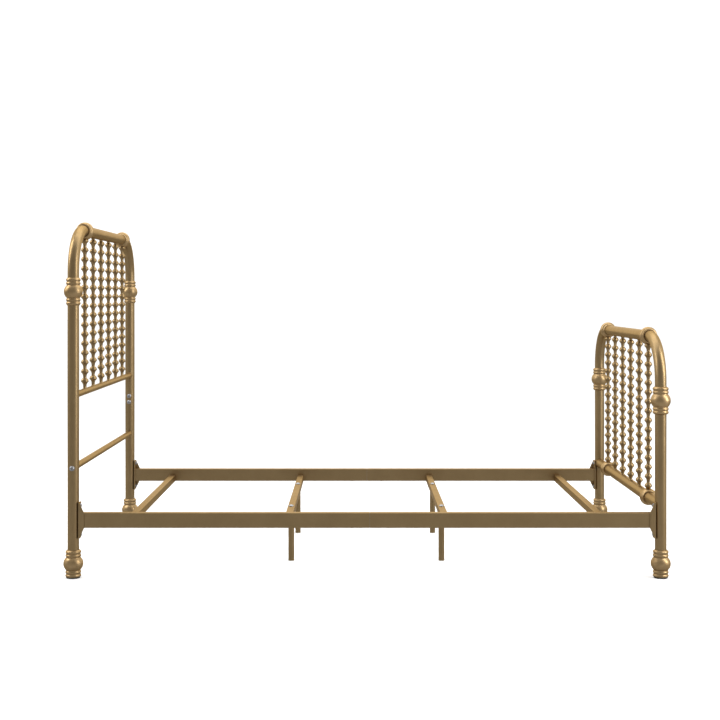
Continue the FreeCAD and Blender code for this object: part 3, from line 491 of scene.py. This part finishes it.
def balls():
    """The two balls around the footboard's bottom rail, with a small land at each end."""
    node = "footboard_bottom_rail_balls"
    centre = middle(node)
    outer_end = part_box(node)[1].y
    radius = span(node).x / 2 / MM
    bore = span(LOW_RAILS["footboard"]).z / 2 / MM + BORE_GAP
    neck = bore + BALL_WALL
    half = math.sqrt(radius ** 2 - neck ** 2)
    shells = []
    for side in SIDES.values():
        corners = [(bore, -half), (neck, -half), (radius, 0, radius, 1), (neck, half, radius, 1),
                   (bore, half)]
        shell = spun(trace(corners, BALL_ARC), CASTING_STEPS, closed=True)
        soften(shell, BALL_EDGE * MM)
        place = (centre.x, side * (outer_end - half * MM), centre.z)
        shells.append(move(shell, place, (0, 1, 0)))
    piece("footboard_bottom_rail_balls_casting", joined(shells), CASTING, "gold_finish", node)


castings()
collars()
balls()


# --- spindles ---------------------------------------------------------------------------

BEAD_PITCH = 32.4
BELLY = 13                # radii of a bead at its widest, below that, at its top rim,
WAIST = 10.75             # and of the neck between two beads
RIM = 7.8
NECK = 6
WAIST_DROP = 3            # heights from the widest line
RIM_RISE = 10.2
BEAD_TOP = 12
BEAD_BOTTOM = 14.6
FLARE_RADIUS = 18
RIM_COVE = 2.6
FIRST_BEAD = {"headboard": 23.8, "footboard": 17.6}
LAST_ROOM = 12.5          # least height over the last bead's widest line
SPINDLE_WELD = 1.5
WELD_HOLLOW = 2.2
WELD_SINK = 0.3           # how far a weld reaches into the tube
WELD_TOE = 0.3
WELD_LAND = 0.4
SPINDLE_STEPS = 44
SPINDLE_ARC = 6


def bead(height):
    """Corners of one bead whose widest line is at `height`."""
    return [(NECK, height - BEAD_BOTTOM),
            (WAIST, height - WAIST_DROP, FLARE_RADIUS, -1),
            (BELLY, height, dome_radius(BELLY - WAIST, WAIST_DROP), 1),
            (RIM, height + RIM_RISE, dome_radius(BELLY - RIM, RIM_RISE), 1),
            (NECK, height + BEAD_TOP, RIM_COVE, -1)]


def sink(mesh, radius, height, facing):
    """Let the end of a weld that is at `height` follow a round tube that lies along Y.

    `radius` and `height` are in metres; facing is 1 for a tube below and -1 for one above.
    """
    for vert in mesh.verts:
        if abs(vert.co.z - height) < SAME and vert.co.xy.length < radius:
            vert.co.z -= facing * (radius - math.sqrt(radius ** 2 - vert.co.x ** 2))


def spindle(board, number):
    """A beaded spindle with a run of weld at each end that follows the tube it meets.

    The outer spindles end on the collars, and those of the footboard start in the balls,
    which hide their first run of weld.
    """
    node = f"{board}_spindle_{number}"
    outer = number in (SPINDLES[0], SPINDLES[-1])
    low_rail = LOW_RAILS[board]
    rail_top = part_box(low_rail)[1].z / MM
    rail_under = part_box(f"{board}_top_rail")[0].z / MM
    first = rail_top + FIRST_BEAD[board]
    count = int((rail_under - first - LAST_ROOM) / BEAD_PITCH) + 1
    low = rail_top
    low_radius = span(low_rail).z / 2
    if outer and board == "footboard":
        low_radius = span("footboard_bottom_rail_balls").x / 2
        low = (middle(low_rail).z + low_radius) / MM
    high = rail_under
    high_radius = POST_RADIUS
    if outer:
        high_radius = span(f"{board}_top_collar_left").x / 2
        high = (middle(f"{board}_top_rail").z - high_radius) / MM
    weld = SPINDLE_WELD
    weld_top = low + weld + WELD_LAND
    corners = []
    if first - BEAD_BOTTOM >= weld_top:
        corners += [(NECK + weld, low - WELD_SINK),
                    (NECK + WELD_TOE, low + weld, WELD_HOLLOW, -1), (NECK, weld_top)]
    for index in range(count):
        corners += bead(first + index * BEAD_PITCH)
    corners += [(NECK, high - weld - WELD_LAND), (NECK + WELD_TOE, high - weld),
                (NECK + weld, high + WELD_SINK, WELD_HOLLOW, -1)]
    mesh = spun(trace(corners, SPINDLE_ARC), SPINDLE_STEPS, closed=False)
    bmesh.ops.holes_fill(mesh, edges=mesh.edges, sides=0)
    bmesh.ops.recalc_face_normals(mesh, faces=mesh.faces)
    sink(mesh, low_radius, (low - WELD_SINK) * MM, 1)
    sink(mesh, high_radius, (high + WELD_SINK) * MM, -1)
    centre = middle(node)
    piece(f"{node}_turned", move(mesh, (centre.x, centre.y, 0)), BEADS, "gold_finish", node)


def spindles():
    for board in BOARDS:
        for number in SPINDLES:
            spindle(board, number)


spindles()


# --- bolts and screws -------------------------------------------------------------------

BOLT_STEPS = 36
THREAD_CREST = 3.9
THREAD_ROOT = 3.4
THREAD_PITCH = 1.5
PLAIN_NECK = 3
WASHER = 9                # radius of the washer under a domed or socket head
DOME_HEIGHT = 5.5
PAN_HEAD = 4.75
PAN_HEIGHT = 2.4
HEX_FOOT = 6.2            # a hexagon is turned round first; the two ends of its faces differ
HEX_TOP = 6.19            # a little, so that each circle can be found by its radius
HEX_FLAT = 5.4
SOCKET_MOUTH = 3.2
SOCKET_FLOOR = 3.1
SOCKET_MOUTH_FLAT = 2.9
SOCKET_FLOOR_FLAT = 2.85

# Outlines from the seat to the top of the head, as (radius, height) corners.
FLANGE_HEAD = [(7.4, 0), (7.6, 0.3), (7.6, 0.8), (7.0, 1.1), (HEX_FOOT, 1.2),
               (HEX_TOP, 3.9), (5.3, 4.4), (3.2, 4.4), (2.6, 4.0), (0, 3.9)]
WASHER_RIM = [(WASHER - 0.2, 0), (WASHER, 0.3), (WASHER, 1.1), (8.7, 1.4), (8, 1.4)]
SOCKET_HEAD = WASHER_RIM + [(8, 2.0), (4.1, DOME_HEIGHT, 7.2, 1),
                            (SOCKET_MOUTH, DOME_HEIGHT), (SOCKET_FLOOR, 2.2), (0, 1.9)]
DOMED_HEAD = WASHER_RIM + [(8, 1.9), (2.6, 5.4, 9.5, 1), (0, DOME_HEIGHT)]
PAN_SCREW = [(0, -9), (0.8, -8.6), (2.2, -6.8), (2.5, -6.2), (2.5, 0), (4.6, 0),
             (PAN_HEAD, 0.3), (PAN_HEAD, 0.9), (2.6, PAN_HEIGHT, 3.4, 1), (1.7, 2.35),
             (1.0, 1.2), (0, 1.1)]


def turned(corners, edge):
    """A turned bolt or screw with its edges rounded."""
    return soften(spun(trace(corners), BOLT_STEPS, closed=False), edge * MM, 1)


def six_sided(mesh, radius, flat):
    """Make the circle of vertices at `radius` a hexagon, `flat` from its middle to a side."""
    for vert in mesh.verts:
        if abs(vert.co.xy.length - radius * MM) < SAME:
            angle = math.atan2(vert.co.y, vert.co.x) % (math.pi / 3) - math.pi / 6
            reach = flat * MM / math.cos(angle)
            vert.co.xy = vert.co.xy.normalized() * reach


def shank(reach):
    """Corners of a rolled thread from the end of a bolt up to its plain neck."""
    corners = [(0, -reach), (2.8, -reach), (THREAD_ROOT, 0.8 - reach)]
    turns = int((reach - PLAIN_NECK - 2) / THREAD_PITCH)
    for turn in range(turns):
        height = 1.0 - reach + turn * THREAD_PITCH
        corners += [(THREAD_CREST, height + 0.4), (THREAD_ROOT, height + 1.1)]
    return corners + [(THREAD_CREST, -PLAIN_NECK), (THREAD_CREST, 0)]


def flange_bolt(reach):
    """Thread, washer face and a six-sided head with a turned chamfer."""
    mesh = spun(trace(shank(reach) + FLANGE_HEAD), BOLT_STEPS, closed=False)
    six_sided(mesh, HEX_FOOT, HEX_FLAT)
    six_sided(mesh, HEX_TOP, HEX_FLAT)
    return soften(mesh, 0.15 * MM, 1)


def socket_bolt(reach):
    """A button head with a six-sided socket over a thin washer."""
    mesh = spun(trace(shank(reach) + SOCKET_HEAD), BOLT_STEPS, closed=False)
    six_sided(mesh, SOCKET_MOUTH, SOCKET_MOUTH_FLAT)
    six_sided(mesh, SOCKET_FLOOR, SOCKET_FLOOR_FLAT)
    return soften(mesh, 0.12 * MM, 1)


def domed_bolt(reach):
    """A low dome over a washer, as on top of the cross slats."""
    return turned(shank(reach) + DOMED_HEAD, 0.12)


def pan_screw():
    """A self-tapping screw with a pan head and a recess."""
    return turned(PAN_SCREW, 0.1)


PLATE_BACK = 19.3         # a bracket's plate, from the middle of the post
PLATE_FACE = 23.3
RAIL_BOLT_LEVEL = 47.5    # above and below the plate's middle
RAIL_BOLT_REACH = 26
POST_BOLT_REACH = 14
LOWER_BOLT_REACH = 60.4
WASHER_SEAT = 0.3         # a flat washer stands this far off a round post


def rail_bolts():
    """Two bolts through each bracket's plate into the post."""
    seat = POST_X - PLATE_FACE * MM
    plate_middle = middle("rail_bolts").z
    bolts = []
    for end in BOARDS.values():
        for side in SIDES.values():
            for level in (-RAIL_BOLT_LEVEL, RAIL_BOLT_LEVEL):
                place = (end * seat, side * POST_Y, plate_middle + level * MM)
                bolts.append(move(flange_bolt(RAIL_BOLT_REACH), place, (-end, 0, 0)))
    piece("rail_flange_bolts", joined(bolts), ZINC, "zinc", "rail_bolts")


def post_bolts():
    """Two bolts on the inner face of each headboard post."""
    low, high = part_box("headboard_post_bolts")
    seat = POST_Y - POST_RADIUS - WASHER_SEAT * MM
    bolts = []
    for side in SIDES.values():
        for level in (low.z + WASHER * MM, high.z - WASHER * MM):
            place = (-POST_X, side * seat, level)
            bolts.append(move(socket_bolt(POST_BOLT_REACH), place, (0, -side, 0)))
    piece("headboard_post_button_bolts", joined(bolts), ZINC, "zinc", "headboard_post_bolts")


def lower_rail_bolts():
    """A long bolt through each headboard post into the end of the lower rail."""
    seat = POST_Y + POST_RADIUS + WASHER_SEAT * MM
    height = middle("headboard_lower_rail").z
    bolts = []
    for side in SIDES.values():
        place = (-POST_X, side * seat, height)
        bolts.append(move(socket_bolt(LOWER_BOLT_REACH), place, (0, side, 0)))
    piece("headboard_lower_rail_button_bolts", joined(bolts), ZINC, "zinc",
          "headboard_lower_rail_bolts")


def leg_bolts():
    """Bolts down through the middle slats into the tops of the support legs."""
    low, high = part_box("leg_bolts")
    seat = high.z - DOME_HEIGHT * MM
    reach = (seat - low.z) / MM
    bolts = []
    for number in SUPPORT_LEGS:
        leg = middle(f"support_leg_{number}")
        bolts.append(move(domed_bolt(reach), (leg.x, leg.y, seat)))
    piece("leg_domed_bolts", joined(bolts), ZINC, "zinc", "leg_bolts")


def joiner_screws():
    """Screws up through the rails' undersides into the sleeves inside their seams."""
    low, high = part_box("rail_joiner_screws")
    seat = low.z + PAN_HEIGHT * MM
    screws = []
    for side in SIDES.values():
        for along in (low.x + PAN_HEAD * MM, high.x - PAN_HEAD * MM):
            screws.append(move(pan_screw(), (along, side * POST_Y, seat), (0, 0, -1)))
    piece("rail_joiner_pan_screws", joined(screws), ZINC, "zinc", "rail_joiner_screws")


rail_bolts()
post_bolts()
lower_rail_bolts()
leg_bolts()
joiner_screws()


# --- pads and glides --------------------------------------------------------------------

PAD_STEPS = 64
PAD = [(0, 1.0), (14, 1.0), (15, 0), (21.6, 0), (23, 1.2, 1.6, 1), (23, 3.0),
       (22.2, 4.0, 1.2, 1), (6, 4), (6, 12.4), (5.4, 13), (0, 13)]
GLIDE_STEPS = 48
GLIDE_SOLE = [(0, 0), (8.6, 0), (10.5, 1.3, 2.0, 1), (10.5, 2), (9.1, 2)]
GLIDE_RIBS = 4
RIB_PITCH = 3
RIB_REACH = 9.1
PLUG_RADIUS = 8.5
PLUG_TOP = 14


def floor_pads():
    """Rubber pads with a turned-in edge, a hollow underneath and a peg."""
    pads = []
    for end in BOARDS.values():
        for side in SIDES.values():
            pad = spun(trace(PAD), PAD_STEPS, closed=False)
            pads.append(move(pad, (end * POST_X, side * POST_Y, 0)))
    piece("post_floor_pads", joined(pads), RUBBER, "black_pad", "floor_pads")


def leg_glides():
    """Nylon glides with a rounded sole, a rim against the tube and a ribbed plug."""
    corners = list(GLIDE_SOLE)
    for rib in range(GLIDE_RIBS):
        height = 4 + RIB_PITCH * rib
        corners += [(RIB_REACH, height), (PLUG_RADIUS, height + 0.6),
                    (PLUG_RADIUS, height + 1)]
    corners += [(PLUG_RADIUS, PLUG_TOP), (0, PLUG_TOP)]
    glides = []
    for number in SUPPORT_LEGS:
        leg = middle(f"support_leg_{number}")
        glide = spun(trace(corners), GLIDE_STEPS, closed=False)
        glides.append(move(glide, (leg.x, leg.y, 0)))
    piece("leg_floor_glides", joined(glides), NYLON, "pale_glide", "leg_glides")


floor_pads()
leg_glides()


# --- brackets and welds -----------------------------------------------------------------

PLATE_HALF_WIDTH = 15.5
PLATE_HALF_HEIGHT = 60
RAIL_HALF_WIDTH = 12.5
RAIL_HALF_HEIGHT = 25
ROOT_END = 30
SPIGOT_START = 29
SPIGOT_END = 65
SPIGOT_HALF_WIDTH = 10.8
SPIGOT_HALF_HEIGHT = 23.3
WEB_START = 22.8
WEB = [(WEB_START, -PLATE_HALF_HEIGHT), (38.4, -26.2), (39, -24.6), (39, 24.6),
       (38.4, 26.2), (WEB_START, PLATE_HALF_HEIGHT)]
WEB_EDGE = 0.5
OVERLAP = 0.2             # how far one welded part of a bracket reaches into the next
CORNER_STEPS = 6
RIPPLE = 1.1              # length of one ripple of weld
WELD_SIDES = 10
WELD_TIP = 0.35           # radius of a weld's two ends, as a share of its own
ROOT_WELD = 1.5
ROOT_WELD_LINE = 24.0     # how far from the post's middle the welds run
WEB_WELD = 1.3
WEB_WELD_LINE = 23.8


def block(low, high, edge, corner):
    """A block between two corners, with its edges along X rounded more than the rest."""
    mesh = bmesh.new()
    bmesh.ops.create_cube(mesh, size=1)
    low, high = Vector(low) * MM, Vector(high) * MM
    bmesh.ops.scale(mesh, vec=high - low, verts=mesh.verts)
    bmesh.ops.translate(mesh, vec=(low + high) / 2, verts=mesh.verts)
    along = [one for one in mesh.edges
             if abs(one.verts[0].co.x - one.verts[1].co.x) > SAME]
    bmesh.ops.bevel(mesh, geom=along, offset=corner * MM, offset_type="OFFSET",
                    affect="EDGES", segments=CORNER_STEPS, profile=0.5, material=-1)
    return soften(mesh, edge * MM)


def web(outline, low, high):
    """A flat plate of an (x, z) outline between two Y values."""
    mesh = bmesh.new()
    rim = [mesh.verts.new((x * MM, low * MM, z * MM)) for x, z in outline]
    face = mesh.faces.new(rim)
    grown = bmesh.ops.extrude_face_region(mesh, geom=[face])
    lifted = [item for item in grown["geom"] if isinstance(item, bmesh.types.BMVert)]
    bmesh.ops.translate(mesh, vec=(0, (high - low) * MM, 0), verts=lifted)
    bmesh.ops.recalc_face_normals(mesh, faces=mesh.faces)
    return soften(mesh, WEB_EDGE * MM)


def weld_run(start, end, radius):
    """A straight run of weld with its ripples."""
    start, end = Vector(start) * MM, Vector(end) * MM
    length = (end - start).length
    ripples = max(round(length / (RIPPLE * MM)), 3)
    mesh = bmesh.new()
    bmesh.ops.create_circle(mesh, cap_ends=True, segments=WELD_SIDES,
                            radius=WELD_TIP * radius * MM)
    rim = list(mesh.edges)
    for step in range(1, ripples + 1):
        grown = bmesh.ops.extrude_edge_only(mesh, edges=rim)
        rim = [item for item in grown["geom"] if isinstance(item, bmesh.types.BMEdge)]
        verts = {vert for one in rim for vert in one.verts}
        bmesh.ops.translate(mesh, vec=(0, 0, length / ripples), verts=list(verts))
        swell = WELD_TIP * radius * MM
        if step < ripples:
            fullness = math.sin(math.pi * step / ripples) ** 0.25
            swell = radius * MM * (WELD_TIP + (1 - WELD_TIP) * fullness)
        swell *= 1 if step % 2 else 0.9
        now = max(vert.co.xy.length for vert in verts)
        bmesh.ops.scale(mesh, vec=(swell / now, swell / now, 1), verts=list(verts))
    bmesh.ops.holes_fill(mesh, edges=mesh.edges, sides=0)
    bmesh.ops.recalc_face_normals(mesh, faces=mesh.faces)
    return move(mesh, start, end - start)


def bracket(node, end, side):
    """End plate, outer web, root and spigot, with the welds between them.

    It is made with the post's middle at X 0 and the spigot towards +X, then mirrored to its
    corner of the bed.
    """
    plate = block((PLATE_BACK, -PLATE_HALF_WIDTH, -PLATE_HALF_HEIGHT),
                  (PLATE_FACE, PLATE_HALF_WIDTH, PLATE_HALF_HEIGHT), edge=0.4, corner=1)
    root = block((PLATE_FACE - OVERLAP, -RAIL_HALF_WIDTH, -RAIL_HALF_HEIGHT),
                 (ROOT_END, RAIL_HALF_WIDTH, RAIL_HALF_HEIGHT), edge=0.4, corner=2)
    spigot = block((SPIGOT_START, -SPIGOT_HALF_WIDTH, -SPIGOT_HALF_HEIGHT),
                   (SPIGOT_END, SPIGOT_HALF_WIDTH, SPIGOT_HALF_HEIGHT), edge=0.6, corner=1.5)
    shapes = [plate, web(WEB, RAIL_HALF_WIDTH, PLATE_HALF_WIDTH), root, spigot]
    for level in (-RAIL_HALF_HEIGHT, RAIL_HALF_HEIGHT):
        shapes.append(weld_run((ROOT_WELD_LINE, -11, level), (ROOT_WELD_LINE, 11, level),
                               ROOT_WELD))
    shapes.append(weld_run((ROOT_WELD_LINE, -RAIL_HALF_WIDTH, -24),
                           (ROOT_WELD_LINE, -RAIL_HALF_WIDTH, 24), ROOT_WELD))
    for low, high in ((-56, -27), (27, 56)):
        shapes.append(weld_run((WEB_WELD_LINE, 12.6, low), (WEB_WELD_LINE, 12.6, high),
                               WEB_WELD))
    mesh = joined(shapes)
    bmesh.ops.scale(mesh, vec=(-end, side, 1), verts=mesh.verts)
    if -end * side < 0:
        bmesh.ops.reverse_faces(mesh, faces=mesh.faces)
    place = (end * POST_X, side * POST_Y, middle(node).z)
    bmesh.ops.translate(mesh, vec=place, verts=mesh.verts)
    return mesh


def brackets():
    for end_name, end in (("head", BOARDS["headboard"]), ("foot", BOARDS["footboard"])):
        for side_name, side in SIDES.items():
            node = f"rail_bracket_{end_name}_{side_name}"
            piece(f"{node}_welded", bracket(node, end, side), GOLD, "gold_finish", node)


RING_STEPS = 48
RING_ARC = 6
RING_FOOT = 1.8           # widest spread of a ring of weld on the post
RING_RISE = 1.2
RING_HOLLOW = 3.4
RING_SINK = 0.5           # how far its bore reaches into the rail


def rail_welds():
    """A ring of weld where each cross rail meets the posts."""
    post = POST_RADIUS / MM
    rings = []
    for board, rail in LOW_RAILS.items():
        tube = span(rail).z / 2 / MM
        foot = min(RING_FOOT, post - tube + 0.6)
        top = post + RING_RISE + foot / 2
        corners = [(tube - RING_SINK, post - 1), (tube + foot, post - 0.4),
                   (tube + 0.1, top, RING_HOLLOW, -1), (tube - RING_SINK, top)]
        for side in SIDES.values():
            mesh = spun(trace(corners, RING_ARC), RING_STEPS, closed=True)
            for vert in mesh.verts:
                across = min(abs(vert.co.x), POST_RADIUS)
                vert.co.z -= POST_RADIUS - math.sqrt(POST_RADIUS ** 2 - across ** 2)
            place = (BOARDS[board] * POST_X, side * POST_Y, middle(rail).z)
            turn = Matrix.Rotation(math.radians(90 * side), 4, "X")
            bmesh.ops.transform(mesh, matrix=Matrix.Translation(place) @ turn,
                                verts=mesh.verts)
            rings.append(mesh)
    piece("cross_rail_welds", joined(rings), GOLD, "gold_finish")


brackets()
rail_welds()


# --- floor, light and camera ------------------------------------------------------------

FLOOR_SIZE = 80
FLOOR_TONE = 0.92
FLOOR_IN_METAL = 0.31     # the floor's tone in reflections, so that the tubes keep their depth
ROOM_LIGHT = 1.2
DARK_WALL = 0.36          # what the metal reflects towards -Y
LIGHT_WALL = 1.4          # and towards +Y
WALL_FROM = -0.6          # where between -Y and +Y the one passes into the other
WALL_TO = 0.9


def grey(value):
    return shade(value, value, value)


def floor():
    """A plain pale floor."""
    bpy.ops.mesh.primitive_plane_add(size=FLOOR_SIZE)
    ground = bpy.context.object
    ground.name = "floor"
    pale = bpy.data.materials.new("pale_floor")
    pale.use_nodes = True
    nodes, links = pale.node_tree.nodes, pale.node_tree.links
    shader = nodes["Principled BSDF"]
    shader.inputs["Roughness"].default_value = 0.9
    shader.inputs["Specular IOR Level"].default_value = 0.1
    seen = nodes.new("ShaderNodeLightPath")
    tone = nodes.new("ShaderNodeMix")
    tone.data_type = "RGBA"
    tone.inputs["A"].default_value = grey(FLOOR_TONE)
    tone.inputs["B"].default_value = grey(FLOOR_IN_METAL)
    links.new(seen.outputs["Is Glossy Ray"], tone.inputs["Factor"])
    links.new(tone.outputs["Result"], shader.inputs["Base Color"])
    ground.data.materials.append(pale)


def softbox(name, place, target, width, height, watts):
    """A rectangular light that faces a point."""
    light = bpy.data.lights.new(name, "AREA")
    light.shape = "RECTANGLE"
    light.size = width
    light.size_y = height
    light.energy = watts
    holder = bpy.data.objects.new(name, light)
    bpy.context.scene.collection.objects.link(holder)
    holder.location = place
    facing = Vector(target) - Vector(place)
    holder.rotation_euler = facing.to_track_quat("-Z", "Y").to_euler()


def studio():
    """A white room with three soft lights.

    Metal reflects a darker wall at -Y and a lighter one at +Y, which gives it its depth.
    """
    world = bpy.data.worlds.new("studio")
    bpy.context.scene.world = world
    world.use_nodes = True
    nodes, links = world.node_tree.nodes, world.node_tree.links
    backdrop = nodes["Background"]
    seen = nodes.new("ShaderNodeLightPath")
    direction = nodes.new("ShaderNodeTexCoord")
    parts = nodes.new("ShaderNodeSeparateXYZ")
    links.new(direction.outputs["Generated"], parts.inputs["Vector"])
    depth = nodes.new("ShaderNodeMapRange")
    depth.inputs["From Min"].default_value = WALL_FROM
    depth.inputs["From Max"].default_value = WALL_TO
    depth.inputs["To Min"].default_value = DARK_WALL
    depth.inputs["To Max"].default_value = LIGHT_WALL
    links.new(parts.outputs["Y"], depth.inputs["Value"])
    tone = nodes.new("ShaderNodeMix")
    tone.data_type = "RGBA"
    tone.inputs["A"].default_value = grey(ROOM_LIGHT)
    links.new(seen.outputs["Is Glossy Ray"], tone.inputs["Factor"])
    links.new(depth.outputs["Result"], tone.inputs["B"])
    links.new(tone.outputs["Result"], backdrop.inputs["Color"])
    softbox("overhead", (0, 0.8, 3.6), (0, 0, 0.4), width=4.0, height=3.0, watts=65)
    softbox("right_strip", (2.7, -1.3, 1.8), (0, -0.2, 0.7), width=0.7, height=3.0, watts=55)
    softbox("left_high", (-3.3, -0.3, 2.7), (0, 0, 0.6), width=0.8, height=2.0, watts=42)


def camera():
    """A level view across the bed, from about the line of its middle."""
    lens = bpy.data.cameras.new("camera")
    lens.lens = 60.85
    lens.sensor_width = 36
    lens.shift_x = 0.00597
    lens.shift_y = -0.0917
    eye = bpy.data.objects.new("camera", lens)
    bpy.context.scene.collection.objects.link(eye)
    eye.location = (-0.03765, -4.559, 0.9439)
    eye.rotation_euler = (math.radians(90), 0, 0)
    bpy.context.scene.camera = eye


floor()
studio()
camera()
bpy.context.scene.view_settings.view_transform = "Standard"
